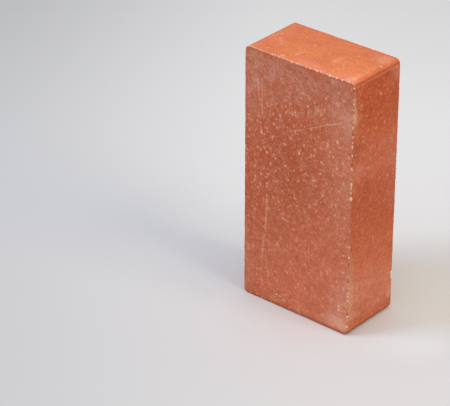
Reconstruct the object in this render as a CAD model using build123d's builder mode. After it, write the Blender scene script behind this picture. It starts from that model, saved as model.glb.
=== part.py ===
"""Solid hyper-pressed facing brick of the single format, standing on one header.

A nearly dry mix of stone screenings, cement and red pigment is squeezed in a steel mould, and is never fired.
The press closes through the brick's thickness. Its two punches leave the flat bed faces, and the mould's wall
leaves the smooth stretchers and headers, with a rounded edge wherever a header meets a stretcher. Only the
outline of each bed is crisp, because the punch slides past the mould's wall there. The brick has no core
holes and no frog.

X runs across the brick's width, Y through its thickness and Z along its length. The origin is at the middle
of the header that the brick stands on.
"""

import os

from build123d import *

# Driving dimensions, in millimetres
brick_length = 250.0
brick_width = 120.0
brick_thickness = 65.0
mould_corner_radius = 5.0
bed_arris_radius = 0.4

with BuildPart() as brick:
    # The mould's opening, seen the way the press closes
    with BuildSketch(Plane.XZ) as mould_opening:
        with Locations((0, brick_length / 2)):
            RectangleRounded(brick_width, brick_length, mould_corner_radius)

    # The two punches meet the mix from both sides of the middle plane
    extrude(amount=brick_thickness / 2, both=True)

    # The crumbly edge that handling takes off the outline of each bed
    bed_faces = brick.faces().filter_by(Axis.Y)
    fillet(bed_faces.edges(), radius=bed_arris_radius)

brick.part.label = "brick"

os.makedirs("parts", exist_ok=True)
export_step(brick.part, "parts/brick.step")
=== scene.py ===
import math

import bpy
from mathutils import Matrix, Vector


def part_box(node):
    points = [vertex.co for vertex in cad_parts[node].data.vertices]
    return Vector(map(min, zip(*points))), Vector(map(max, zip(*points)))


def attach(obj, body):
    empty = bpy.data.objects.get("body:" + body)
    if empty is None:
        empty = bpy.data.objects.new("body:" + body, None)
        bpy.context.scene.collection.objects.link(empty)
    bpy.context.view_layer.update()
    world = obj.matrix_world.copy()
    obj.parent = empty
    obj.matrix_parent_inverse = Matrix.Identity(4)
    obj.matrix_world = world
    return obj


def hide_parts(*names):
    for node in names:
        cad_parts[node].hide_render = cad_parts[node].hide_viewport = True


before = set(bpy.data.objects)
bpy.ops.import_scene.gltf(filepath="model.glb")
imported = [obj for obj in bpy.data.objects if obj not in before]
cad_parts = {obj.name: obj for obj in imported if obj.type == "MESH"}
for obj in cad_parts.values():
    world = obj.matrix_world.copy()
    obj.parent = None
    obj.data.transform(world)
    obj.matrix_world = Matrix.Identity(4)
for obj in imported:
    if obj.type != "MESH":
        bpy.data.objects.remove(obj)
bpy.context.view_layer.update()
mm = 0.001


# Camera
# It stands in front of the bed, well to the right and above, and looks through a long lens, so that the
# brick's upright edges lean together only a little. The brick stands right of the middle of the picture.
view_azimuth = math.radians(40.55)
view_elevation = math.radians(29.04)
view_distance = 2009.3 * mm
aim_left_of_brick = 84.1 * mm
aim_above_floor = 100.6 * mm
sensor_width = 36.0
focal_length = 179.67

view_right = Vector((math.cos(view_azimuth), math.sin(view_azimuth), 0))
view_back = Vector((
    math.sin(view_azimuth) * math.cos(view_elevation),
    -math.cos(view_azimuth) * math.cos(view_elevation),
    math.sin(view_elevation),
))
camera_aim = Vector((0, 0, aim_above_floor)) - view_right * aim_left_of_brick
camera_data = bpy.data.cameras.new("camera")
camera_data.sensor_width = sensor_width
camera_data.lens = focal_length
camera = bpy.data.objects.new("camera", camera_data)
camera.location = camera_aim + view_back * view_distance
camera.rotation_euler = view_back.to_track_quat("Z", "Y").to_euler()
bpy.context.scene.collection.objects.link(camera)
bpy.context.scene.camera = camera


# The brick
# One block of a nearly dry mix of stone screenings, cement and red pigment, squeezed between two punches in
# a steel mould and never fired. The mould rounds the edges between stretchers and headers and leaves a seam
# beside each, and handling knocks crumbs off the beds' arrises, where stones of the mix come to light.
class Wire:
    """One output of a node. Python's signs on it add Math nodes, and node() adds any other node."""

    def __init__(self, tree, socket=None):
        self.tree = tree
        self.socket = socket

    def node(self, kind, settings=None, sockets=None, output=0):
        """Adds a node, sets it up, fills its sockets with values or links, and gives one of its outputs."""
        made = self.tree.nodes.new(kind)
        for name, value in (settings or {}).items():
            setattr(made, name, value)
        for name, value in (sockets or {}).items():
            for one in value if isinstance(value, list) else [value]:
                if isinstance(one, Wire):
                    self.tree.links.new(one.socket, made.inputs[name])
                else:
                    made.inputs[name].default_value = one
        return Wire(self.tree, made.outputs[output] if made.outputs else None)

    def also(self, output):
        """Another output of the same node."""
        return Wire(self.tree, self.socket.node.outputs[output])

    def math(self, operation, *numbers):
        return self.node("ShaderNodeMath", {"operation": operation}, dict(enumerate(numbers)))

    def vector(self, operation, *vectors, output=0):
        return self.node("ShaderNodeVectorMath", {"operation": operation}, dict(enumerate(vectors)), output)

    def scaled(self, factor):
        """This vector or colour, times a number."""
        return self.node("ShaderNodeVectorMath", {"operation": "SCALE"}, {0: self, "Scale": factor})

    def joined(self, x, y, z=0.0):
        """A vector of three coordinates."""
        return self.node("ShaderNodeCombineXYZ", {}, {"X": x, "Y": y, "Z": z})

    def __add__(self, other):
        return self.math("ADD", self, other)

    def __radd__(self, other):
        return self.math("ADD", other, self)

    def __sub__(self, other):
        return self.math("SUBTRACT", self, other)

    def __rsub__(self, other):
        return self.math("SUBTRACT", other, self)

    def __mul__(self, other):
        return self.math("MULTIPLY", self, other)

    def __rmul__(self, other):
        return self.math("MULTIPLY", other, self)

    def __truediv__(self, other):
        return self.math("DIVIDE", self, other)

    def __rtruediv__(self, other):
        return self.math("DIVIDE", other, self)

    def __pow__(self, other):
        return self.math("POWER", self, other)

    def __lt__(self, other):
        return self.math("LESS_THAN", self, other)

    def __gt__(self, other):
        return self.math("GREATER_THAN", self, other)

    def __abs__(self):
        return self.math("ABSOLUTE", self)

    def sign(self):
        return self.math("SIGN", self)

    def at_most(self, other):
        return self.math("MINIMUM", self, other)

    def at_least(self, other):
        return self.math("MAXIMUM", self, other)

    def clamped(self):
        """This number, kept between 0 and 1."""
        return self.node("ShaderNodeClamp", {}, {"Value": self})

    def ramp(self, start, end, low=0.0, high=1.0):
        """Goes smoothly from low, where this number is at start, to high, where it is at end."""
        sockets = {"Value": self, "From Min": start, "From Max": end, "To Min": low, "To Max": high}
        return self.node("ShaderNodeMapRange", {"interpolation_type": "SMOOTHSTEP"}, sockets)


def noise(place, size, detail=2.0, roughness=0.5):
    """Soft lumps about size across, around 0.5."""
    sockets = {"Vector": place, "Scale": 1 / size, "Detail": detail, "Roughness": roughness}
    return place.node("ShaderNodeTexNoise", {}, sockets)


def stirred(place, size, reach):
    """The same place, pushed aside by up to about reach, in lumps about size across."""
    push = noise(place, size, 1.0).also("Color")
    return place.vector("ADD", place, place.vector("MULTIPLY_ADD", push, (reach * 2,) * 3, (-reach,) * 3))


def axes(place):
    """The three coordinates of a vector."""
    split = place.node("ShaderNodeSeparateXYZ", {}, {0: place})
    return split, split.also("Y"), split.also("Z")


# The block's mesh is a grid that is fine beside the arrises, with the sizes that the tree takes
block_low, block_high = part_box("brick")
block_size = block_high - block_low
wide_cell = 2.2 * mm
fine_cell = 0.4 * mm
corner_margin = 7.0 * mm
arris_margin = 3.2 * mm


def cells_along(length, margin):
    """How many wide cells half a side has in its middle, and how many fine ones beside its end."""
    return round((length / 2 - margin) / wide_cell), round(margin / fine_cell)


wide_x, fine_x = cells_along(block_size.x, corner_margin)
wide_y, fine_y = cells_along(block_size.y, arris_margin)
wide_z, fine_z = cells_along(block_size.z, corner_margin)
brick_inputs = {
    "Width": block_size.x,
    "Thickness": block_size.y,
    "Length": block_size.z,
    "Mould corner": 5.0 * mm,
    "Skin depth": 0.14 * mm,
    "Waviness": 0.07 * mm,
    "Seam offset": 0.3 * mm,
    "Seam width": 1.5 * mm,
    "Seam height": 0.12 * mm,
    "Arris wear": 0.45 * mm,
    "Roll-off": 0.65 * mm,
    "Roll-off width": 2.4 * mm,
    "Crumb spacing": 2.0 * mm,
    "Largest crumb": 1.5 * mm,
    "Largest stone": 0.85 * mm,
    "Stone share": 0.42,
    "Seed": 11,
}

# The knocks and stones that stand out on the beds' arrises, as (x, y, z, radius) in millimetres
big_knocks = (
    (59.8, 33.2, 36.5, 3.6), (60.2, 33.0, 33.2, 2.3), (60.4, 33.0, 78.6, 1.6),
    (60.4, -33.0, 242.6, 1.9), (60.3, -32.9, 236.6, 1.2), (60.3, -32.9, 232.8, 1.1),
    (60.3, -32.9, 227.0, 1.2), (60.3, -32.9, 223.4, 1.2), (60.3, -32.9, 216.4, 1.5),
    (60.3, -32.9, 211.0, 1.2), (60.3, -32.9, 205.4, 1.1), (60.4, -33.0, 202.2, 1.6),
    (60.4, -33.0, 196.4, 1.5), (60.3, -32.9, 186.5, 1.2), (60.3, -32.9, 177.2, 1.3),
    (60.3, -32.9, 174.4, 1.2), (60.3, -32.9, 163.0, 1.3), (60.6, -33.2, 150.3, 1.7),
    (60.3, -32.9, 74.5, 1.3), (60.3, -32.9, 57.5, 1.0), (60.3, -32.9, 47.0, 1.0),
    (60.3, -32.9, 33.0, 1.1), (60.3, -32.9, 28.0, 1.2), (60.3, -32.9, 14.0, 1.1),
    (-43.5, -33.2, 250.5, 1.7), (-16.0, -33.2, 250.6, 1.6), (26.0, -33.2, 250.6, 1.9),
    (42.5, -33.2, 250.5, 1.6),
)
big_stones = (
    (-43.5, -32.3, 249.6, 0.7), (-29.6, -32.3, 249.7, 0.85), (-26.7, -32.3, 249.7, 0.95),
    (-21.6, -32.3, 249.7, 0.85), (-17.4, -32.3, 249.3, 0.75), (-7.8, -32.3, 249.3, 1.05),
    (-1.4, -32.3, 249.3, 1.05), (1.3, -32.3, 249.3, 0.8), (7.6, -32.3, 249.3, 0.85),
    (12.6, -32.3, 249.3, 0.8), (19.5, -32.3, 249.3, 0.7), (23.9, -32.3, 249.3, 0.6),
    (33.4, -32.3, 249.3, 1.0), (35.4, -32.3, 249.3, 0.95), (37.4, -32.3, 249.4, 0.8),
    (41.0, -32.3, 249.3, 0.95), (46.7, -32.3, 249.3, 1.15), (51.7, -32.3, 249.6, 0.85),
    (54.3, -32.3, 249.4, 1.0), (59.8, -32.3, 234.6, 0.65), (59.8, -32.3, 230.6, 0.65),
    (59.8, -32.3, 225.0, 0.65), (59.8, -32.3, 219.4, 0.8), (59.8, -32.3, 213.6, 0.7),
    (59.8, -32.3, 208.0, 1.0), (59.8, -32.3, 199.4, 0.95), (59.8, -32.3, 194.0, 0.75),
    (59.8, -32.3, 190.4, 1.05), (59.7, -32.2, 181.8, 0.9), (59.6, -32.2, 168.4, 1.15),
    (59.7, -32.2, 154.0, 1.3), (59.7, -32.2, 145.7, 1.1), (59.6, -32.2, 139.5, 1.6),
    (59.7, -32.2, 91.7, 1.0), (59.7, -32.2, 81.0, 0.9), (59.7, -32.2, 62.0, 0.8),
    (59.7, -32.2, 53.5, 0.7), (59.7, -32.2, 49.8, 0.85), (59.7, -32.2, 44.5, 0.85),
    (59.6, -32.2, 40.4, 1.05), (59.6, -32.2, 36.4, 1.15), (59.7, -32.2, 20.0, 1.0),
    (59.7, -32.2, 16.6, 0.6), (59.6, -32.2, 9.6, 1.0),
)
marks_data = bpy.data.meshes.new("knocks_and_stones")
marks_data.from_pydata([Vector(mark[:3]) * mm for mark in big_knocks + big_stones], [], [])
mark_reach = marks_data.attributes.new("reach", "FLOAT", "POINT")
mark_stays = marks_data.attributes.new("stays", "FLOAT", "POINT")
mark_placed = marks_data.attributes.new("placed", "FLOAT", "POINT")
for index, mark in enumerate(big_knocks + big_stones):
    mark_reach.data[index].value = mark[3] * mm
    mark_stays.data[index].value = 1.0 if mark in big_stones else 0.0
    mark_placed.data[index].value = 1.0

brick_tree = bpy.data.node_groups.new("pressed brick", "GeometryNodeTree")
brick_tree.interface.new_socket("Geometry", in_out="OUTPUT", socket_type="NodeSocketGeometry")
brick_tree.interface.new_socket("Marks", in_out="INPUT", socket_type="NodeSocketGeometry")
for name, value in brick_inputs.items():
    kind = "NodeSocketInt" if isinstance(value, int) else "NodeSocketFloat"
    brick_tree.interface.new_socket(name, in_out="INPUT", socket_type=kind)
brick_tree.interface.new_socket("Finish", in_out="INPUT", socket_type="NodeSocketMaterial")

press = Wire(brick_tree)
entry = press.node("NodeGroupInput")
sizes = {name: entry.also(name) for name in brick_inputs}
corner = sizes["Mould corner"]
half_x = sizes["Width"] / 2.0
half_y = sizes["Thickness"] / 2.0
half_z = sizes["Length"] / 2.0


def stored(geometry, name, value, domain="POINT"):
    """The geometry, with a number kept on it under a name."""
    settings = {"data_type": "FLOAT", "domain": domain}
    sockets = {"Geometry": geometry, "Name": name, "Value": value}
    return press.node("GeometryNodeStoreNamedAttribute", settings, sockets)


def named(name):
    """A number that the geometry keeps under a name."""
    return press.node("GeometryNodeInputNamedAttribute", {"data_type": "FLOAT"}, {"Name": name}, "Attribute")


def moved(geometry, position=None, offset=None):
    """The geometry, with its points moved to a place or by an offset."""
    sockets = {"Position": position, "Offset": offset}
    sockets = {name: value for name, value in sockets.items() if value is not None}
    return press.node("GeometryNodeSetPosition", {}, {"Geometry": geometry, **sockets})


def drawn(low, high, seed):
    """A number drawn for each point between low and high."""
    sockets = {2: low, 3: high, "Seed": sizes["Seed"] + float(seed)}
    return press.node("FunctionNodeRandomValue", {"data_type": "FLOAT"}, sockets, 1)


def drawn_vector(reach, seed):
    """A vector drawn for each point, with each coordinate between -reach and reach."""
    sockets = {0: (-reach,) * 3, 1: (reach,) * 3, "Seed": sizes["Seed"] + float(seed)}
    return press.node("FunctionNodeRandomValue", {"data_type": "FLOAT_VECTOR"}, sockets, 0)


def crowded_towards_end(share, half, margin, wide_count, fine_count):
    """How far out a grid line lies, with wide cells in the middle and fine ones over the last margin."""
    turn = wide_count / (wide_count + fine_count)
    wide_part = (share / turn).at_most(1.0) * (half - margin)
    fine_part = (share - turn).at_least(0.0) * (margin / (1 - turn))
    return wide_part + fine_part


cube_sockets = {
    "Size": press.joined(sizes["Width"], sizes["Thickness"], sizes["Length"]),
    "Vertices X": 2 * (wide_x + fine_x) + 1,
    "Vertices Y": 2 * (wide_y + fine_y) + 1,
    "Vertices Z": 2 * (wide_z + fine_z) + 1,
}
blank = press.node("GeometryNodeMeshCube", {}, cube_sockets, "Mesh")
grid_x, grid_y, grid_z = axes(press.node("GeometryNodeInputPosition"))
side_x = grid_x.sign()
side_y = grid_y.sign()
side_z = grid_z.sign()
out_x = crowded_towards_end(abs(grid_x) / half_x, half_x, corner_margin, wide_x, fine_x)
out_y = crowded_towards_end(abs(grid_y) / half_y, half_y, arris_margin, wide_y, fine_y)
out_z = crowded_towards_end(abs(grid_z) / half_z, half_z, corner_margin, wide_z, fine_z)

# The mould's four rounded corners: a square ring of the grid becomes a round one
into_x = (out_x - (half_x - corner)).at_least(0.0)
into_z = (out_z - (half_z - corner)).at_least(0.0)
ring = into_x.at_least(into_z)
slant = ring.math("SQRT", into_x * into_x + into_z * into_z)
toward_x = into_x / slant
toward_z = into_z / slant
round_x = out_x - into_x + toward_x * ring
round_z = out_z - into_z + toward_z * ring

# Handling takes the whole arris off at a slant, a little more here and there
wear_lump = 6.0 * mm
from_bed = half_y - out_y
from_arris = corner - ring + from_bed
spot = press.joined(side_x * round_x, side_y * out_y, side_z * round_z)
wear = sizes["Arris wear"] * noise(spot, wear_lump, 3.0, 0.7).ramp(0.3, 0.7, 0.5, 1.5)
shift = (wear - from_arris).at_least(0.0) / 2.0

# The header's front edge, which hands grip, is rolled off, most of all a little right of its middle
roll_starts = -34.0 * mm
roll_full_from = 0.0
roll_full_to = 15.0 * mm
roll_ends = 50.0 * mm
roll_down_bed = 3.0 * mm
roll_across = side_x * round_x
roll_along = roll_across.ramp(roll_starts, roll_full_from, 0.1, 1.0)
roll_along = roll_along * roll_across.ramp(roll_full_to, roll_ends, 1.0, 0.55)
rolled = (1.0 - from_bed / sizes["Roll-off width"]).at_least(0.0) ** 2.0
rolled = rolled * (corner - ring).ramp(roll_down_bed, 0.0) * roll_along
rolled = rolled * side_z.at_least(0.0) * (side_y * -1.0).at_least(0.0) * sizes["Roll-off"]
pressed = press.joined(
    side_x * (round_x - toward_x * shift),
    side_y * (out_y - shift),
    side_z * (round_z - toward_z * shift) + half_z - rolled,
)

# The seam beside each rounded corner: a low ridge on the stretcher, and a shallow groove beyond it
groove_from_ridge = 1.6
past_tangent = out_z - (half_z - corner) - sizes["Seam offset"]
on_wall = from_bed.ramp(0.3 * mm, 0.9 * mm)
on_stretcher = into_x - into_z
ridge = (abs(past_tangent) / sizes["Seam width"]).ramp(1.0, 0.0) * on_wall
ridge = ridge * on_stretcher.ramp(0.0, 1.0 * mm)
past_ridge = abs(past_tangent - sizes["Seam width"] * groove_from_ridge)
groove = (past_ridge / sizes["Seam width"]).ramp(1.0, 0.0) * on_wall
groove = groove * on_stretcher.ramp(0.0, 0.5 * mm)

shaped = stored(blank, "ridge", ridge)
shaped = stored(shaped, "groove", groove)
shaped = moved(shaped, position=pressed)
wave_length = 45.0 * mm
skin_place = press.node("GeometryNodeInputPosition")
sink = sizes["Skin depth"] - named("ridge") * sizes["Seam height"] + named("groove") * sizes["Seam height"]
sink = sink.at_least(0.0) + noise(skin_place, wave_length).ramp(0.3, 0.7) * sizes["Waviness"]
outward = press.node("GeometryNodeInputNormal")
shaped = moved(shaped, offset=outward.scaled(sink * -1.0))
shaped = stored(shaped, "broken", 0.0, "FACE")
shaped = stored(shaped, "stone", 0.0, "FACE")

# The beds' outlines, with points along them for crumbs that are gone and stones that stay
outline = press.node("GeometryNodeCurvePrimitiveQuadrilateral", {},
                     {"Width": sizes["Width"], "Height": sizes["Length"]})
outline = press.node("GeometryNodeFilletCurve", {"mode": "POLY"},
                     {"Curve": outline, "Count": 8, "Radius": corner})
standing = (math.pi / 2, 0.0, 0.0)
bed_outlines = []
for side in (-1.0, 1.0):
    middle = press.joined(0.0, half_y * side, half_z)
    sockets = {"Geometry": outline, "Translation": middle, "Rotation": standing}
    bed_outlines.append(press.node("GeometryNodeTransform", {}, sockets))
outlines = press.node("GeometryNodeJoinGeometry", {}, {"Geometry": bed_outlines})
crumbs = press.node("GeometryNodeCurveToPoints", {"mode": "LENGTH"},
                    {"Curve": outlines, "Length": sizes["Crumb spacing"]})
tangent = crumbs.also("Tangent")
crumbs = stored(crumbs, "stays", drawn(0.0, 1.0, 1) < sizes["Stone share"])
largest = named("stays") * (sizes["Largest stone"] - sizes["Largest crumb"]) + sizes["Largest crumb"]
smallest_share = 0.28
share_of_largest = drawn(0.0, 1.0, 2) ** 2.0 * (1.0 - smallest_share) + smallest_share
crumbs = stored(crumbs, "reach", share_of_largest * largest)


def mould_direction(place):
    """From a place near the wall, the way straight out of the mould's wall."""
    centred = place.vector("MULTIPLY_ADD", place, (1.0, 0.0, 1.0), press.joined(0.0, 0.0, half_z * -1.0))
    core = press.joined(half_x - corner, 0.0, half_z - corner)
    near = place.vector("MAXIMUM", place.vector("MINIMUM", centred, core), core.scaled(-1.0))
    return near, place.vector("SUBTRACT", centred, near)


# Crumbs bite in from outside the arris, and stones lie just inside it
crumb_step_out = 0.30
stone_step_in = 0.30
crumb_jitter = 0.25 * mm
crumb_place = press.node("GeometryNodeInputPosition")
wall_way = mould_direction(crumb_place)[1]
wall_way = wall_way.vector("NORMALIZE", wall_way)
bed_way = press.joined(0.0, axes(crumb_place)[1].sign())
out_of_arris = wall_way.vector("ADD", wall_way, bed_way)
step_out = named("reach") * (crumb_step_out - named("stays") * (crumb_step_out + stone_step_in))
along = tangent.scaled(drawn(-0.5, 0.5, 3) * sizes["Crumb spacing"])
jitter = out_of_arris.vector("ADD", along, drawn_vector(crumb_jitter, 4))
crumbs = moved(crumbs, offset=jitter.vector("ADD", jitter, out_of_arris.scaled(step_out)))
marks = press.node("GeometryNodeMeshToPoints", {}, {"Mesh": entry.also("Marks")})
crumbs = press.node("GeometryNodeJoinGeometry", {}, {"Geometry": [crumbs, marks]})

# They come in clumps: between two clumps only the larger ones are kept
clump_size = 14.0 * mm
least_between_clumps = 0.95 * mm
least_in_clumps = 0.30 * mm
clumped = noise(press.node("GeometryNodeInputPosition"), clump_size, 2.0, 0.6)
thinned = clumped.ramp(0.35, 0.65, least_between_clumps, least_in_clumps)
kept = named("reach") + named("placed") > thinned

# Each is a rough lump, stretched and turned its own way, and the stones that stand out are among the palest
lump_stretch = 0.25
lump_grain = 0.9 * mm
lump_roughness = 1.3
placed_paler = 0.42
lump = press.node("GeometryNodeMeshIcoSphere", {}, {"Radius": 1.0, "Subdivisions": 2}, "Mesh")
turn = press.node("FunctionNodeEulerToRotation", {}, {0: drawn_vector(math.pi, 5)})
stretch = press.vector("ADD", drawn_vector(lump_stretch, 6), (1.0, 1.0, 1.0))
lumps = press.node("GeometryNodeInstanceOnPoints", {}, {
    "Points": crumbs, "Selection": kept, "Instance": lump, "Rotation": turn,
    "Scale": stretch.scaled(named("reach"))})
stone_tone = drawn(0.0, 1.0, 7) * (1.0 - named("placed") * placed_paler)
lumps = stored(lumps, "tone", stone_tone, "INSTANCE")
lumps = press.node("GeometryNodeRealizeInstances", {}, {"Geometry": lumps})
lump_place = press.node("GeometryNodeInputPosition")
rough = noise(lump_place, lump_grain, 1.0, 0.5)
lumps = moved(lumps, offset=outward.scaled((rough - 0.5) * named("reach") * lump_roughness))


def inside_mould(place, depth):
    """A place, brought inside the mould's walls and punches by depth if it lies further out."""
    near, away = mould_direction(place)
    length = away.vector("LENGTH", away, output="Value")
    kept_share = ((corner - depth) / length).at_most(1.0)
    y = axes(place)[1]
    kept_y = y.at_least((half_y - depth) * -1.0).at_most(half_y - depth)
    flat = near.vector("ADD", near, away.scaled(kept_share))
    return flat.vector("ADD", flat, press.joined(0.0, kept_y, half_z))


def separate_lumps(stays):
    """Only the lumps that are crumbs gone (0), or only those that are stones that stay (1)."""
    wanted = press.math("COMPARE", named("stays"), stays, 0.1)
    sockets = {"Geometry": lumps, "Selection": wanted}
    return press.node("GeometryNodeSeparateGeometry", {"domain": "POINT"}, sockets)


def islands(geometry):
    """Each lump as an instance of its own, as the Boolean wants them."""
    island = press.node("GeometryNodeInputMeshIsland", output="Island Index")
    sockets = {"Geometry": geometry, "Group ID": island}
    return press.node("GeometryNodeSplitToInstances", {"domain": "POINT"}, sockets)


gone = stored(stored(separate_lumps(0.0), "broken", 1.0, "FACE"), "stone", 0.0, "FACE")
stones = stored(stored(separate_lumps(1.0), "broken", 0.0, "FACE"), "stone", 1.0, "FACE")
stone_depth = 0.03 * mm
stones = moved(stones, position=inside_mould(lump_place, stone_depth))
shaped = press.node("GeometryNodeMeshBoolean", {"operation": "DIFFERENCE", "solver": "MANIFOLD"},
                    {"Mesh 1": shaped, "Mesh 2": islands(gone)})
shaped = press.node("GeometryNodeMeshBoolean", {"operation": "UNION", "solver": "MANIFOLD"},
                    {"Mesh 2": [shaped, islands(stones)]})

# A stone that has lost its hold, and so stands apart from the block, falls out
fewest_faces_kept = 1000.0
island = press.node("GeometryNodeInputMeshIsland", output="Island Index")
island_faces = press.node("GeometryNodeAccumulateField", {"data_type": "FLOAT", "domain": "FACE"},
                          {"Value": 1.0, "Group ID": island}, "Total")
shaped = press.node("GeometryNodeDeleteGeometry", {"domain": "FACE"}, {
    "Geometry": shaped, "Selection": island_faces < fewest_faces_kept})

# Broken edges stay sharp, and the rest is smooth
smooth_angle = math.radians(38.0)
soft = press.node("GeometryNodeInputMeshEdgeAngle") < smooth_angle
shaped = press.node("GeometryNodeSetShadeSmooth", {"domain": "FACE"}, {"Geometry": shaped})
shaped = press.node("GeometryNodeSetShadeSmooth", {"domain": "EDGE"},
                    {"Geometry": shaped, "Shade Smooth": soft})
shaped = press.node("GeometryNodeRealizeInstances", {}, {"Geometry": shaped})
shaped = press.node("GeometryNodeSetMaterial", {}, {"Geometry": shaped, "Material": entry.also("Finish")})
press.node("NodeGroupOutput", {}, {"Geometry": shaped})


# The skin's finish: paste first, then the film and dust on it, then the grains and the scratches in it
def mixed(factor, below, above):
    """The colour below, covered by the colour above as far as factor says."""
    sockets = {"Factor": factor, 6: below, 7: above}
    return factor.node("ShaderNodeMix", {"data_type": "RGBA"}, sockets, 2)


def grains(place, spacing, largest, share):
    """Grains about spacing apart, in a share of the places, as a cover from 0 to 1."""
    cells = place.node("ShaderNodeTexVoronoi", {}, {"Vector": place, "Scale": 1 / spacing}, "Distance")
    draw = cells.also("Color").node("ShaderNodeSeparateColor", {}, {"Color": cells.also("Color")})
    radius = (draw.also(1) * 0.6 + 0.4) * (largest / spacing)
    cover = (radius - cells) / (radius * 0.75)
    return (cover * (draw < share) * (draw.also(2) * 0.6 + 0.4)).clamped()


def patch(place, middle, reach, strength):
    """A soft-edged patch, at full strength in its middle and gone at its reach, both (across, up)."""
    scale = (1 / reach[0], 1 / reach[1], 0)
    shift = (-middle[0] / reach[0], -middle[1] / reach[1], 0)
    away = place.vector("MULTIPLY_ADD", place, scale, shift)
    return place.vector("LENGTH", away, output="Value").ramp(0.25, 1.0, strength, 0.0)


def patches(place, rows):
    """Several patches on a face added up, each (middle, reach, strength)."""
    total = None
    for middle, reach, strength in rows:
        one = patch(place, middle, reach, strength)
        total = one if total is None else total + one
    return total


def dots(place, spots, fade):
    """Round spots, each (across, up, radius), as one cover from 0 to 1 that fades at their rims."""
    nearest = None
    for across, up, radius in spots:
        beyond = place.vector("DISTANCE", place, (across, up, 0), output="Value") - radius
        nearest = beyond if nearest is None else nearest.at_most(beyond)
    return nearest.ramp(fade, -fade)


def stroke(place, points, width, strength):
    """A scratch through points on a face, at full strength on its line and gone at half its width."""
    nearest = None
    for start, end in zip(points, points[1:]):
        run = Vector(end) - Vector(start)
        offset = place.vector("SUBTRACT", place, (*start, 0))
        along = place.vector("DOT_PRODUCT", offset, (*(run / run.length_squared), 0), output="Value")
        settings = {"operation": "SCALE"}
        walked = along.node("ShaderNodeVectorMath", settings, {0: (*run, 0), "Scale": along.clamped()})
        miss = place.vector("SUBTRACT", offset, walked)
        far = place.vector("LENGTH", miss, output="Value")
        nearest = far if nearest is None else nearest.at_most(far)
    return nearest.ramp(0.15 * width, 0.5 * width, strength, 0.0)


def strokes(place, rows):
    """Several scratches on a face as one cover, each (points, width, strength)."""
    total = None
    for points, width, strength in rows:
        one = stroke(place, points, width, strength)
        total = one if total is None else total.at_least(one)
    return total


paste_colour = (0.505, 0.086, 0.026, 1)
deep_colour = (0.44, 0.072, 0.013, 1)
rusty_colour = (0.480, 0.074, 0.0105, 1)
low_colour = (0.46, 0.070, 0.018, 1)
header_colour = (0.562, 0.144, 0.054, 1)
golden_colour = (0.66, 0.20, 0.050, 1)
rosy_colour = (0.77, 0.205, 0.098, 1)
film_colour = (0.57, 0.325, 0.235, 1)
haze_colour = (0.82, 0.44, 0.32, 1)
tan_colour = (0.72, 0.38, 0.22, 1)
sand_colour = (0.74, 0.34, 0.17, 1)
pale_colour = (0.92, 0.46, 0.25, 1)
chalky_colour = (0.86, 0.50, 0.36, 1)
fleck_colour = (0.80, 0.36, 0.12, 1)
corner_colour = (0.60, 0.098, 0.028, 1)
painted_highlight_colour = (0.84, 0.42, 0.205, 1)
orange_colour = (0.80, 0.29, 0.10, 1)
blush_colour = (0.90, 0.36, 0.20, 1)
scratch_colour = (0.82, 0.47, 0.29, 1)
pit_and_shadow_colour = (0.20, 0.04, 0.025, 1)
dark_grain_colour = (0.34, 0.042, 0.016, 1)
dark_and_shade_colour = (0.34, 0.055, 0.022, 1)
white_stone_colour = (0.95, 0.66, 0.42, 1)
cream_stone_colour = (0.88, 0.52, 0.32, 1)
grey_stone_colour = (0.50, 0.29, 0.19, 1)

pressed_mix = bpy.data.materials.new("pressed_mix")
pressed_mix.use_nodes = True
shader = pressed_mix.node_tree.nodes["Principled BSDF"]
shader.inputs["Specular IOR Level"].default_value = 0.25
mix = Wire(pressed_mix.node_tree)

# Places in millimetres, and across and up on each pair of faces, turned round on the far one of the two
half_width = block_size.x / 2 / mm
half_thickness = block_size.y / 2 / mm
half_length = block_size.z / 2 / mm
bed_edge = (0.46, 0.24)
header_edge = (2.9, 2.2)
place = mix.node("ShaderNodeTexCoord", output="Object").scaled(1 / mm)
x, y, z = axes(place)
level = z - half_length
from_bed = half_thickness - abs(y)
from_stretcher = half_width - abs(x)
from_header = half_length - abs(level)
bed_face = from_bed.ramp(*bed_edge)
header_face = from_header.ramp(*header_edge) * (1.0 - bed_face)
stretcher_face = (1.0 - bed_face) * (1.0 - header_face)
front_or_back = y.sign() * -1.0
right_or_left = x.sign()
top_or_bottom = level.sign()
bed = mix.joined(x, level * front_or_back + half_length)
stretcher = mix.joined(y * right_or_left, level * right_or_left + half_length)
header = mix.joined(x, y * top_or_bottom)

# How uneven the skin is at several sizes, and how much of its grain shows: less on the header
clouds = noise(place, 38.0, 3.0, 0.55)
mottle = noise(place, 7.0, 3.0, 0.6)
speckle = noise(place, 2.1, 2.0, 0.65)
sand = noise(place, 1.8, 2.0, 0.6)
blots = noise(place, 4.5, 2.0, 0.6)
calm = 1.0 - header_face * 0.40
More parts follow.
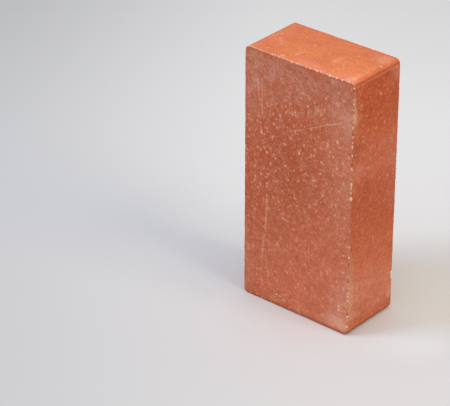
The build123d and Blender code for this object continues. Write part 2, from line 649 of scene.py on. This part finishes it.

# The paste, richer and rustier where it was pressed wetter, with painted shade on the bed beside the
# headers' arrises
deep_paste_and_shade = patches(bed, (
    ((-55.0, 237.0), (8.0, 6.0), 0.8),
    ((0.0, 132.0), (80.0, 80.0), 0.22),
    ((0.0, 146.0), (60.0, 46.0), 0.45),
    ((48.0, 178.0), (16.0, 16.0), 0.30),
    ((-5.0, 242.5), (16.0, 7.0), 0.62),
    ((-36.0, 246.5), (9.0, 4.0), 0.60),
    ((-52.0, 247.0), (6.0, 3.0), 0.50),
    ((45.0, 238.0), (8.0, 6.0), 0.60),
    ((-14.0, 64.0), (50.0, 42.0), 0.28),
    ((1.0, 59.5), (6.0, 4.0), 0.5),
    ((-21.9, 69.9), (6.0, 5.0), 0.4),
    ((-34.5, 221.5), (3.0, 6.0), 0.6),
    ((-41.6, 215.0), (1.2, 9.0), 0.5),
    ((20.6, 217.6), (2.2, 2.5), 0.5),
    ((-9.0, 222.0), (7.0, 8.0), 0.25),
    ((34.0, 235.0), (20.0, 6.0), 0.45),
    ((57.5, 182.0), (4.0, 9.0), 0.5),
)) * bed_face
# Painted shade: the bed darker in a thin band beside each header's arris
deep_paste_and_shade = deep_paste_and_shade + from_header.ramp(3.6, 0.8) * bed_face * blots.ramp(0.40, 0.58, 0.2, 0.9)
deep_paste_and_shade = deep_paste_and_shade + patches(stretcher, (
    ((6.0, 222.0), (46.0, 56.0), 0.85),
    ((4.0, 230.0), (18.0, 12.0), 0.40),
    ((22.0, 217.0), (10.0, 18.0), 0.40),
    ((4.0, 0.0), (60.0, 9.0), 0.50),
    ((26.0, 9.0), (20.0, 14.0), 0.12),
    ((-22.0, 178.0), (14.0, 18.0), 0.30),
    ((-13.0, 140.0), (13.0, 15.0), 0.75),
    ((-27.0, 181.0), (12.0, 15.0), 0.8),
    ((-22.5, 231.0), (7.0, 9.0), 0.50),
    ((18.0, 150.0), (12.0, 9.0), 0.5),
    ((20.0, 131.0), (10.0, 14.0), 0.5),
    ((-8.0, 95.0), (8.0, 9.0), 0.5),
    ((-20.0, 89.0), (10.0, 9.0), 0.4),
)) * stretcher_face
deep_paste_and_shade = deep_paste_and_shade + clouds.ramp(0.45, 0.70) * (stretcher_face * 0.15 + 0.20)
deep_paste_and_shade = deep_paste_and_shade + mottle.ramp(0.45, 0.72) * (stretcher_face * 0.25 + 0.20)
golden = patches(header, (
    ((-20.0, -14.0), (28.0, 18.0), 0.45),
    ((0.0, -2.0), (22.0, 20.0), 0.25),
    ((38.0, -11.0), (28.0, 30.0), 0.60),
    ((10.0, 20.0), (20.0, 14.0), 0.20),
))
header_tone = mixed(golden * blots.ramp(0.30, 0.65, 0.6, 1.1), header_colour, golden_colour)
colour = mixed(header_face, paste_colour, header_tone)
deep_tone = mixed(stretcher_face, deep_colour, rusty_colour)
colour = mixed((deep_paste_and_shade * (1.0 - header_face * 0.8)).at_most(1.0), colour, deep_tone)
dim = patches(stretcher, (
    ((-28.0, 183.5), (13.0, 11.0), 0.85),
    ((0.0, 42.0), (34.0, 15.0), 0.10),
    ((16.0, 48.0), (12.0, 9.0), 0.08),
    ((-12.0, 142.0), (11.0, 13.0), 0.40),
    ((-16.0, 133.0), (8.0, 7.0), 0.30),
    ((3.0, 188.0), (9.0, 6.0), 0.15),
))
colour = mixed(dim * stretcher_face * blots.ramp(0.35, 0.60, 0.5, 1.1), colour, dark_and_shade_colour)

# Rosy dust of the press's own mix, thickest low down
rosy = patches(bed, (
    ((34.0, 24.0), (120.0, 115.0), 0.42),
    ((50.0, 150.0), (60.0, 110.0), 0.20),
)) * bed_face
rosy = rosy + patches(stretcher, (
    ((0.0, 20.0), (120.0, 110.0), 0.50),
    ((0.0, 172.0), (90.0, 50.0), 0.16),
)) * stretcher_face
rosy = rosy + patches(header, (
    ((58.0, -30.0), (40.0, 40.0), 0.36),
    ((5.0, -34.0), (50.0, 18.0), 0.45),
)) * header_face
dust_noise = noise(place, 11.0, 4.0, 0.6)
colour = mixed(rosy * dust_noise.ramp(0.28, 0.68, 0.5, 1.25), colour, rosy_colour)

# Greyish film at the top of the bed, and paler haze along its right side
film_noise = noise(place, 16.0, 4.0, 0.65)
streaks = noise(place.vector("MULTIPLY", place, (1.0, 1.0, 0.22)), 3.0, 2.0, 0.6)
film = patches(bed, (
    ((-6.0, 262.0), (150.0, 74.0), 0.26),
    ((-54.0, 204.0), (34.0, 46.0), 0.15),
    ((8.0, 4.0), (90.0, 10.0), 0.08),
    ((21.5, 212.0), (5.0, 6.0), 0.14),
    ((-46.7, 219.0), (7.0, 6.0), 0.10),
    ((-48.0, 244.0), (8.0, 5.0), 0.10),
    ((-28.0, 236.0), (10.0, 13.0), 0.13),
    ((-20.8, 238.0), (5.0, 8.0), 0.20),
    ((-31.0, 227.0), (6.0, 8.0), 0.18),
    ((-45.0, 234.0), (7.0, 6.0), 0.28),
    ((44.0, 238.0), (9.0, 8.0), -0.18),
    ((14.0, 234.0), (14.0, 6.0), -0.08),
    ((-6.0, 242.0), (13.0, 7.0), -0.15),
    ((5.0, 245.0), (8.0, 4.0), -0.12),
    ((-36.0, 246.0), (8.0, 4.0), -0.20),
    ((-20.0, 236.0), (5.0, 4.0), 0.16),
    ((14.0, 207.0), (5.0, 5.0), 0.16),
    ((-1.0, 201.0), (3.5, 3.5), 0.24),
    ((57.5, 213.0), (5.0, 26.0), 0.20),
    ((-19.3, 190.5), (3.0, 4.5), 0.34),
    ((-19.7, 183.0), (2.5, 3.5), 0.28),
)) * bed_face
film = (film + bed_face * 0.06) * film_noise.ramp(0.30, 0.64, 0.45, 1.25)
film = film * streaks.ramp(0.25, 0.65, 0.60, 1.15)
film = film + film_noise.ramp(0.50, 0.80) * (0.06 - stretcher_face * 0.05)
colour = mixed(film, colour, film_colour)
haze = patches(bed, (
    ((62.0, 170.0), (44.0, 110.0), 0.14),
    ((47.0, 216.0), (22.0, 13.0), 0.09),
    ((60.0, 34.0), (30.0, 46.0), 0.20),
    ((56.0, 208.0), (13.0, 30.0), 0.12),
    ((47.0, 10.5), (20.0, 13.0), 0.44),
    ((56.0, 7.0), (12.0, 12.0), 0.14),
    ((-58.0, 30.0), (14.0, 60.0), 0.10),
)) * bed_face
haze = haze + patches(stretcher, (
    ((0.0, 34.0), (80.0, 30.0), 0.14),
    ((-25.0, 160.5), (16.0, 14.0), 0.15),
    ((-5.0, 155.0), (12.0, 9.0), 0.08),
    ((-27.0, 17.5), (14.0, 6.0), 0.30),
    ((-6.0, 17.0), (24.0, 7.0), 0.08),
    ((26.0, 150.0), (16.0, 60.0), 0.10),
    ((6.0, 168.0), (30.0, 26.0), 0.05),
    ((28.0, 240.0), (12.0, 12.0), 0.09),
    ((28.0, 17.0), (4.5, 6.5), 0.46),
)) * stretcher_face
haze = haze + patches(header, (
    ((50.0, 22.0), (12.0, 12.0), 0.20),
    ((-42.0, -6.0), (10.0, 7.0), 0.12),
    ((-13.5, -14.5), (5.0, 8.0), 0.12),
    ((20.0, -4.0), (5.0, 12.0), 0.14),
    ((-56.0, 0.0), (14.0, 50.0), 0.08),
    ((50.0, -28.0), (16.0, 10.0), 0.12),
    ((8.0, -27.0), (22.0, 8.0), 0.16),
    ((48.0, -25.0), (16.0, 10.0), 0.06),
    ((53.0, -28.5), (7.0, 9.0), 0.34),
    ((-53.0, -32.0), (7.5, 3.6), 0.32),
    ((-20.0, -29.5), (5.0, 5.0), 0.12),
)) * header_face
dusty = blots.ramp(0.46, 0.74) * (bed_face * level.ramp(-90.0, 10.0, 0.06, 0.12) + 0.04)
haze = haze * film_noise.ramp(0.28, 0.66, 0.6, 1.25) + dusty
colour = mixed(haze, colour, haze_colour)

# Tan strips beside the stretcher's upright arrises, and a spot on the bed, where water carried cement out
strip = patches(stretcher, (
    ((-32.4, 222.0), (6.2, 27.0), 0.76),
    ((-27.0, 201.0), (9.0, 9.0), 0.13),
    ((-28.5, 215.0), (8.5, 9.0), 0.42),
    ((-30.0, 45.0), (9.0, 46.0), 0.52),
    ((28.0, 22.0), (4.5, 9.0), 0.35),
    ((29.0, 240.0), (8.0, 12.0), 0.12),
)) * stretcher_face
strip = strip + patch(bed, (21.5, 212.0), (6.0, 7.0), 0.20) * bed_face
colour = mixed(strip * streaks.ramp(0.3, 0.7, 0.7, 1.0), colour, tan_colour)

# The mould's rounded corners are cleaner and redder, and painted darker towards the stretcher as shade on
# the rounding, with a rubbed band, painted lighter as a highlight, where they meet the header
rounded = from_header.ramp(5.4, 4.2) * (from_stretcher + (blots - 0.5) * 2.5).ramp(4.7, 3.1)
# Painted shade on the rounding, strongest towards the stretcher
colour = mixed(rounded * from_stretcher.ramp(2.4, -0.2, 0.06, 0.86), colour, corner_colour)
# Painted highlight, partly rubbing, along the header beside the rounding
rubbed_highlight = patches(header, (
    ((55.0, -25.0), (24.0, 24.0), 0.36),
    ((55.0, 4.0), (24.0, 28.0), 0.20),
))
highlight_from_stretcher = 7.2
rubbed_highlight = rubbed_highlight * abs(from_stretcher - highlight_from_stretcher).ramp(4.2, 0.5) * header_face
rubbed_highlight = rubbed_highlight * blots.ramp(0.36, 0.62, 0.15, 1.05)
colour = mixed(rubbed_highlight, colour, painted_highlight_colour)

# Shade is painted just above the seam, and along the header's far arris the skin is darker
shade_above_seam = abs(from_header - 3.7).ramp(1.3, 0.3) * from_stretcher.ramp(2.5, 1.0) * (1.0 - bed_face)
colour = mixed(shade_above_seam * 0.55, colour, dark_and_shade_colour)
far_arris = from_bed.ramp(3.5, 0.8) * header_face * (y * top_or_bottom).ramp(8.0, 26.0)
colour = mixed(far_arris * blots.ramp(0.40, 0.60, 0.10, 0.55), colour, corner_colour)

# Pale lines run beside the header's near arris and the stretchers' arrises, and shade is painted on the bed
# just under its top arris
arris_line = from_bed.ramp(2.8, 0.7) * header_face * speckle.ramp(0.38, 0.60, 0.20, 1.05)
arris_line = arris_line * (y * top_or_bottom).ramp(-8.0, -26.0)
arris_line = arris_line + from_bed.ramp(1.6, 0.5) * stretcher_face * mottle.ramp(0.4, 0.65, 0.0, 0.5)
colour = mixed(arris_line * 0.55, colour, mixed(header_face, chalky_colour, tan_colour))
shade_under_arris = from_header.ramp(4.5, 1.2) * bed_face * top_or_bottom.at_least(0.0)
colour = mixed(shade_under_arris * blots.ramp(0.38, 0.58, 0.10, 0.36), colour, dark_and_shade_colour)

# The foot is painted darker, as the shade where it meets the floor, and darkest in a thin line of painted
# shadow at the bottom
colour = mixed(z.ramp(5.0, 2.2) * 0.55, colour, deep_colour)
colour = mixed(z.ramp(2.2, 0.5) * 0.50, colour, pit_and_shadow_colour)

# The mix's own grains, from fine sand to screenings, drawn out upward on the stretchers
colour = mixed(speckle.ramp(0.46, 0.76) * calm * 0.24, colour, sand_colour)
colour = mixed(speckle.ramp(0.48, 0.26) * calm * 0.42, colour, low_colour)
colour = mixed(speckle.ramp(0.50, 0.26) * header_face * 0.42, colour, corner_colour)
colour = mixed(sand.ramp(0.42, 0.80) * 0.06, colour, haze_colour)
stirred_place = stirred(place, 1.3, 0.8)
pale = grains(stirred_place, spacing=3.5, largest=2.1, share=0.44)
fine_pale = grains(stirred_place, spacing=2.4, largest=1.35, share=0.36)
orange = grains(stirred_place, spacing=3.6, largest=1.7, share=0.45)
dark = grains(stirred_place, spacing=4.2, largest=1.2, share=0.40)
upright_place = place.vector("MULTIPLY", stirred_place, (1.0, 1.0, 0.55))
flecks = grains(upright_place, spacing=3.1, largest=1.3, share=0.50)
crowded = patches(bed, (((0.0, 158.0), (140.0, 84.0), 0.42),)) * bed_face + bed_face * 0.28 + 0.35
crowded = (crowded - header_face * 0.07) * blots.ramp(0.34, 0.60, 0.45, 1.25)
colour = mixed(pale * crowded * 0.62, colour, pale_colour)
colour = mixed(fine_pale * crowded * 0.60, colour, chalky_colour)
colour = mixed(orange * (stretcher_face * 0.10 + 0.30), colour, orange_colour)
colour = mixed(flecks * stretcher_face * level.ramp(-80.0, 20.0, 0.22, 0.50), colour, fleck_colour)
colour = mixed(dark * calm * 0.48, colour, dark_grain_colour)

# Single grains that stand out
bed_stirred = stirred(bed, 1.6, 1.0)
pale_spots = dots(bed_stirred, (
    (-9.1, 208.8, 1.2), (-35.1, 154.0, 1.2), (2.0, 164.3, 1.4), (-24.2, 138.0, 1.1), (-21.9, 129.2, 1.2),
    (44.6, 128.2, 0.8), (44.2, 125.4, 0.8), (-22.7, 34.7, 0.9), (-33.2, 31.4, 0.9), (-9.5, 38.9, 1.0),
    (3.7, 31.4, 1.0), (-21.1, 12.0, 0.9), (-17.4, 11.2, 1.0), (-55.8, 100.3, 1.0), (-26.9, 111.4, 0.9),
    (-42.2, 118.9, 1.3), (20.6, 120.5, 1.5), (43.8, 189.4, 1.6), (-3.3, 203.4, 1.2), (-18.2, 203.6, 1.1),
    (27.4, 205.9, 1.1), (10.7, 212.8, 1.1), (-4.1, 189.8, 1.1), (26.6, 163.9, 1.2), (9.1, 146.7, 1.2),
    (19.0, 143.7, 1.5), (-36.8, 156.9, 1.2), (-33.1, 131.7, 1.4), (49.6, 27.3, 1.6), (49.7, 22.8, 1.5),
    (-38.4, 14.9, 0.9), (31.0, 11.2, 0.9), (54.1, 63.7, 0.9), (14.4, 68.6, 0.9), (47.9, 83.5, 0.9),
    (-37.0, 196.0, 1.1), (-12.0, 201.6, 0.9), (-17.0, 230.2, 1.0), (-13.5, 229.4, 0.8), (18.2, 234.4, 0.8),
    (-6.0, 232.5, 0.8), (3.0, 231.0, 0.8), (-16.2, 226.5, 0.8), (-1.3, 224.8, 1.2), (11.0, 223.0, 0.8),
), fade=0.6) * bed_face
orange_spots = dots(bed_stirred, (
    (43.1, 225.3, 1.9), (30.4, 226.6, 1.2), (-37.4, 225.7, 1.2), (-33.0, 198.9, 1.3), (4.1, 192.3, 1.3),
    (31.4, 178.6, 1.4), (-14.9, 167.6, 1.4), (7.4, 140.4, 1.5), (-52.1, 116.8, 1.3), (-21.1, 64.5, 1.3),
    (-19.4, 62.8, 1.0), (-12.0, 62.4, 1.0), (15.7, 48.0, 1.3), (-13.2, 8.7, 0.9), (10.3, 7.0, 0.9),
    (51.2, 151.5, 1.9), (38.8, 142.0, 1.4), (-35.1, 86.0, 1.0), (31.4, 192.7, 1.2), (-50.4, 51.0, 0.9),
    (-44.2, 57.5, 0.9), (24.8, 102.8, 1.1),
), fade=0.7) * bed_face
stretcher_stirred = stirred(stretcher, 2.0, 0.7)
stretcher_spots = dots(stretcher_stirred, (
    (-21.5, 225.5, 1.8), (5.5, 227.0, 1.2), (-13.5, 212.5, 1.0), (-10.5, 198.0, 1.1), (13.5, 197.5, 1.1),
    (-17.8, 189.5, 1.2), (-27.5, 180.5, 1.3), (23.7, 176.8, 1.1), (6.2, 173.0, 1.1), (19.5, 142.5, 1.6),
    (7.5, 144.0, 1.1), (28.5, 144.0, 1.1), (-29.5, 146.5, 1.2), (-9.0, 161.0, 1.3), (-20.3, 133.5, 1.0),
    (25.5, 109.5, 1.1), (2.0, 87.5, 1.0), (-12.0, 44.0, 1.1), (13.7, 16.0, 1.1), (18.5, 63.5, 0.9),
    (26.5, 73.5, 0.9), (-19.7, 33.0, 1.0), (0.5, 196.0, 1.7),
), fade=0.7) * stretcher_face
header_spots = dots(stirred(header, 2.0, 0.5), (
    (6.2, -10.5, 1.0), (20.0, -9.0, 1.1), (34.5, -15.0, 1.0), (30.5, -23.3, 1.1), (-21.5, -28.0, 1.6),
    (-13.5, -18.5, 1.1), (-12.5, 5.8, 1.0), (29.0, 13.0, 1.1), (42.5, 15.5, 0.9), (56.0, 9.5, 1.5),
    (-45.5, -0.5, 1.0), (-50.5, 6.5, 1.1), (-40.5, -24.5, 1.0), (-28.0, 14.0, 1.0), (32.0, -11.0, 0.8),
), fade=0.6) * header_face
bright_spots = dots(bed_stirred, (
    (-9.7, 39.0, 0.9), (-21.2, 12.0, 0.9), (-17.3, 11.4, 0.9), (-23.0, 35.0, 0.7), (49.8, 27.6, 1.3),
    (50.0, 24.2, 1.2), (1.5, 164.4, 1.3), (26.6, 164.0, 1.1), (43.5, 190.4, 1.0), (43.6, 188.2, 1.0),
    (58.0, 59.5, 0.8), (57.5, 53.5, 0.7), (53.5, 63.0, 0.8), (10.8, 213.0, 0.7), (-8.2, 209.2, 0.8),
    (29.8, 226.6, 1.0), (-12.0, 9.0, 0.6), (31.0, 11.0, 0.7), (3.5, 32.0, 0.8), (54.5, 46.5, 0.7),
), fade=0.7) * bed_face
blush_spots = dots(bed_stirred, (
    (42.2, 225.6, 1.8), (44.0, 224.2, 1.2), (-20.6, 64.0, 1.3), (15.5, 48.2, 1.0), (-14.6, 167.8, 1.2),
    (-33.4, 199.0, 1.0), (12.6, 46.6, 0.7), (51.2, 151.5, 1.3), (-38.0, 14.8, 0.9), (-21.0, 17.5, 0.7),
), fade=0.9) * bed_face
dark_spots = dots(bed_stirred, (
    (8.5, 238.5, 1.2), (-28.6, 11.6, 0.8), (-21.9, 70.5, 0.9), (1.0, 59.5, 0.9), (-27.0, 23.5, 0.7),
    (20.8, 218.0, 0.8), (55.5, 233.0, 0.9), (-42.0, 205.0, 0.8), (40.5, 149.0, 1.0),
), fade=0.6) * bed_face
colour = mixed(pale_spots * 0.38, colour, pale_colour)
colour = mixed(orange_spots * 0.45, colour, orange_colour)
colour = mixed(bright_spots * 0.55, colour, cream_stone_colour)
colour = mixed(blush_spots * 0.50, colour, blush_colour)
colour = mixed(dark_spots * 0.60, colour, pit_and_shadow_colour)
colour = mixed(stretcher_spots * 0.48, colour, fleck_colour)
colour = mixed(header_spots * 0.32, colour, cream_stone_colour)

# Scratches that handling left, paler than the skin
bed_scratches = strokes(bed, (
    (((-48.0, 159.0), (-26.5, 171.0), (-12.4, 179.0), (-8.3, 182.7)), 1.1, 0.17),
    (((-8.3, 182.7), (8.2, 189.8), (20.6, 196.0), (28.9, 200.5)), 1.7, 0.42),
    (((28.9, 200.5), (47.9, 208.8)), 2.1, 0.44),
    (((-30.0, 214.5), (-27.0, 206.0), (-24.5, 200.5), (-20.5, 193.5)), 1.6, 0.30),
    (((-12.0, 182.7), (-10.8, 178.2), (-7.0, 174.5)), 1.5, 0.38),
    (((-45.6, 221.0), (-44.6, 208.0), (-42.6, 199.0)), 3.0, 0.26),
    (((-40.6, 222.0), (-40.2, 206.0)), 2.2, 0.30),
    (((-43.4, 206.0), (-40.2, 197.0)), 4.6, 0.26),
    (((-39.9, 199.0), (-39.9, 188.0)), 2.3, 0.52),
    (((-33.8, 110.0), (-34.2, 90.0), (-35.4, 74.0)), 3.4, 0.34),
    (((-35.4, 74.0), (-37.4, 60.0), (-38.6, 50.0)), 4.8, 0.26),
    (((-38.6, 50.0), (-39.2, 36.0), (-39.5, 20.0)), 3.6, 0.17),
    (((-34.6, 48.0), (-32.6, 34.0), (-31.4, 20.0)), 2.6, 0.15),
    (((-31.4, 27.0), (-31.4, 20.0)), 1.6, 0.22),
    (((40.1, 31.2), (58.7, 30.2)), 1.7, 0.62),
    (((49.1, 34.0), (58.7, 31.9)), 1.4, 0.50),
    (((33.0, 60.0), (52.0, 57.0)), 1.2, 0.20),
    (((-17.0, 92.8), (-9.0, 92.0)), 1.8, 0.60),
    (((8.2, 111.8), (9.1, 107.3)), 1.6, 0.50),
)) * bed_face
wall_scratches = strokes(stretcher, (
    (((-19.8, 52.0), (-20.0, 42.0), (-19.7, 31.0)), 1.8, 0.30),
    (((3.5, 228.8), (7.0, 225.8)), 1.4, 0.35),
    (((21.0, 178.5), (24.0, 176.5)), 1.2, 0.40),
)) * stretcher_face
header_scratches = strokes(header, (
    (((-46.0, -1.5), (-37.0, -10.5)), 3.6, 0.14),
    (((-36.0, -11.5), (-24.0, -2.5), (-12.5, 6.5)), 1.6, 0.20),
)) * header_face
scratched = (bed_scratches + wall_scratches + header_scratches) * mottle.ramp(0.30, 0.50, 0.55, 1.0)
scratched = scratched * speckle.ramp(0.30, 0.62, 0.55, 1.05)
colour = mixed(scratched, colour, scratch_colour)

# The upper seams' ridges are rubbed pale, and the grooves are painted dark, partly as dirt and partly as
# painted shade
ridge = mix.node("ShaderNodeAttribute", {"attribute_name": "ridge"}, output="Fac")
groove = mix.node("ShaderNodeAttribute", {"attribute_name": "groove"}, output="Fac")
colour = mixed(ridge * level.ramp(-20.0, 20.0, 0.0, 0.24), colour, tan_colour)
colour = mixed(groove * 0.45, colour, deep_colour)

# The finest grains make the paste a little lighter or darker, and lime makes it a little whiter or less so
sand_swing = 0.042
mottle_swing = 0.032
lime_swing = 0.009
darkest = (0.004, 0.004, 0.004)
grain = sand.ramp(0.25, 0.75, -sand_swing, sand_swing)
grain = grain + mottle.ramp(0.25, 0.75, -mottle_swing, mottle_swing)
quiet = stretcher_face * 0.35 + bed_face * level.ramp(-30.0, -90.0, 0.0, 0.45)
colour = colour.scaled(grain * (calm - quiet) + 1.0)
lime = sand.ramp(0.25, 0.75, -lime_swing, lime_swing) + mottle.ramp(0.25, 0.75, -lime_swing, lime_swing)
colour = colour.vector("ADD", colour, mix.joined(lime, lime, lime))
colour = colour.vector("MAXIMUM", colour, darkest)

# Broken places are dull and crumbly, and painted darker as the shade inside the chips; the stones in them
# are cream, orange or grey
broken = mix.node("ShaderNodeAttribute", {"attribute_name": "broken"}, output="Fac")
stone = mix.node("ShaderNodeAttribute", {"attribute_name": "stone"}, output="Fac")
tone = mix.node("ShaderNodeAttribute", {"attribute_name": "tone"}, output="Fac")
broken_and_shade_colour = mixed(speckle.ramp(0.40, 0.70) * 0.7, dark_and_shade_colour, sand_colour)
colour = mixed(broken, colour, broken_and_shade_colour)
stone_colour = mixed(tone.ramp(0.1, 0.35), white_stone_colour, cream_stone_colour)
stone_colour = mixed(tone.ramp(0.55, 0.75), stone_colour, orange_colour)
stone_colour = mixed(tone.ramp(0.91, 0.98), stone_colour, grey_stone_colour)
stone_colour = stone_colour.scaled(speckle.ramp(0.3, 0.7, 0.75, 1.05))
colour = mixed(stone, colour, stone_colour)

# The skin's relief in millimetres, where it is too fine for the mesh
skin = (sand * 0.07 + mottle * 0.12 - dark * 0.25) * calm + pale * 0.04 - scratched * 0.06
skin = skin + broken * noise(place, 0.7, 2.0, 0.7) * 0.5
bump = mix.node("ShaderNodeBump", {}, {"Strength": 0.6, "Distance": mm, "Height": skin})
roughness = film * 0.2 + mottle * 0.12 + broken * 0.2 + 0.56

links = pressed_mix.node_tree.links
links.new(colour.socket, shader.inputs["Base Color"])
links.new(roughness.socket, shader.inputs["Roughness"])
links.new(bump.socket, shader.inputs["Normal"])

brick = bpy.data.objects.new("pressed_brick", marks_data)
bpy.context.scene.collection.objects.link(brick)
modifier = brick.modifiers.new("press", "NODES")
modifier.node_group = brick_tree
brick_inputs["Finish"] = pressed_mix
for item in brick_tree.interface.items_tree:
    if item.in_out == "INPUT" and item.name in brick_inputs:
        modifier[item.identifier] = brick_inputs[item.name]
depsgraph = bpy.context.evaluated_depsgraph_get()
brick.data = bpy.data.meshes.new_from_object(brick.evaluated_get(depsgraph))
brick.modifiers.clear()
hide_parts("brick")
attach(brick, "root")


# The studio floor
# A pale, smooth sheet that runs back without a corner, painted dimmer to the left and brighter to the right
# and behind, as painted falloff of the light. It isn't part of the object.
floor_reach = 6.0
room_tone = 0.70
dim_tone = (0.49, 0.49, 0.495, 1)
bright_tone = (0.80, 0.80, 0.805, 1)
painted_bounce_tone = (0.74, 0.716, 0.676, 1)
painted_cool_light_tone = (0.70, 0.735, 0.745, 1)
behind_foot = (67 * mm, 65 * mm, 0)
before_foot = (102 * mm, 3 * mm, 0)
fade_starts = 0.8
fade_ends = 2.2

floor_data = bpy.data.meshes.new("floor")
floor_corners = [(-floor_reach, -floor_reach, 0), (floor_reach, -floor_reach, 0),
                 (floor_reach, floor_reach, 0), (-floor_reach, floor_reach, 0)]
floor_data.from_pydata(floor_corners, [], [(0, 1, 2, 3)])
floor = bpy.data.objects.new("floor", floor_data)
bpy.context.scene.collection.objects.link(floor)
floor_paint = bpy.data.materials.new("floor_paint")
floor_paint.use_nodes = True
floor_shader = floor_paint.node_tree.nodes["Principled BSDF"]
floor_shader.inputs["Roughness"].default_value = 0.7
floor_links = floor_paint.node_tree.links
paint = Wire(floor_paint.node_tree)
floor_place = paint.node("ShaderNodeTexCoord", output="Object")
floor_x, floor_y, _ = axes(floor_place)
rightward = floor_x * view_right.x + floor_y * view_right.y
away = floor_y * view_right.x - floor_x * view_right.y
# Painted light: the paint is brighter where more of the lamps' light falls
lit_right = rightward.ramp(-0.42, 0.06)
lit = lit_right * 0.46 + away.ramp(-0.2, 0.5) * (lit_right * 0.43 + 0.18)
floor_tone = mixed(lit, dim_tone, bright_tone)

# Right of the foot, bounced light is painted onto the sheet: warmer and lighter in the brick's shade, and
# cooler where the lamps reach it again
from_behind = floor_place.vector("DISTANCE", floor_place, behind_foot, output="Value")
floor_tone = mixed(from_behind.ramp(25 * mm, 88 * mm, 0.9, 0.0), floor_tone, painted_bounce_tone)
from_before = floor_place.vector("DISTANCE", floor_place, before_foot, output="Value")
floor_tone = mixed(from_before.ramp(4 * mm, 58 * mm, 0.75, 0.0), floor_tone, painted_cool_light_tone)
floor_links.new(floor_tone.socket, floor_shader.inputs["Base Color"])

# Far from the brick it passes into the room's tone, so that a low camera sees no horizon
floor_rays = paint.node("ShaderNodeLightPath", output="Is Camera Ray")
floor_seen = floor_rays.at_least(floor_rays.also("Is Glossy Ray"))
from_brick = floor_place.vector("LENGTH", floor_place, output="Value")
faded = from_brick.ramp(fade_starts, fade_ends) * floor_seen
glow = paint.node("ShaderNodeEmission", {}, {"Color": (room_tone, room_tone, room_tone, 1)})
painted = Wire(paint.tree, floor_shader.outputs[0])
floor_finish = paint.node("ShaderNodeMixShader", {}, {0: faded, 1: painted, 2: glow})
floor_links.new(floor_finish.socket, floor_paint.node_tree.nodes["Material Output"].inputs["Surface"])
floor_data.materials.append(floor_paint)


# The studio light
# A soft box stands on either side of the camera, a broad lamp hangs overhead, and the pale room fills in
# from all round. The camera sees the room in the floor's own tone.
room = bpy.data.worlds.new("room")
room.use_nodes = True
room_light = 0.43
background = room.node_tree.nodes["Background"]
rays = Wire(room.node_tree).node("ShaderNodeLightPath", output="Is Camera Ray")
seen = rays.at_least(rays.also("Is Glossy Ray").at_least(rays.also("Is Transmission Ray")))
room_strength = seen * (room_tone - room_light) + room_light
room.node_tree.links.new(room_strength.socket, background.inputs["Strength"])
background.inputs["Color"].default_value = (1, 1, 1, 1)
bpy.context.scene.world = room

lamp_aim = Vector((0, 0, 120 * mm))


def soft_box(name, toward, elevation, distance, size, energy, colour):
    """A square lamp that looks at the brick from a way on the plan, at an elevation above the floor."""
    plan = Vector((*toward, 0)).normalized()
    back = plan * math.cos(elevation) + Vector((0, 0, math.sin(elevation)))
    data = bpy.data.lights.new(name, "AREA")
    data.shape = "SQUARE"
    data.size = size
    data.energy = energy
    data.color = colour
    lamp = bpy.data.objects.new(name, data)
    lamp.location = lamp_aim + back * distance
    lamp.rotation_euler = back.to_track_quat("Z", "Y").to_euler()
    bpy.context.scene.collection.objects.link(lamp)


soft_box("left_soft_box", toward=(-0.66, -0.755), elevation=math.radians(38.0), distance=1.4, size=0.52,
         energy=7.5, colour=(0.89, 0.98, 1.17))
soft_box("right_soft_box", toward=(1.0, 0.0), elevation=math.radians(48.0), distance=1.4, size=0.55,
         energy=6.8, colour=(1.11, 0.995, 0.83))
soft_box("overhead_lamp", toward=(0.0, -1.0), elevation=math.radians(82.0), distance=1.6, size=1.2,
         energy=8.2, colour=(1.0, 1.0, 1.0))

bpy.context.scene.view_settings.view_transform = "Standard"

bpy.context.view_layer.update()
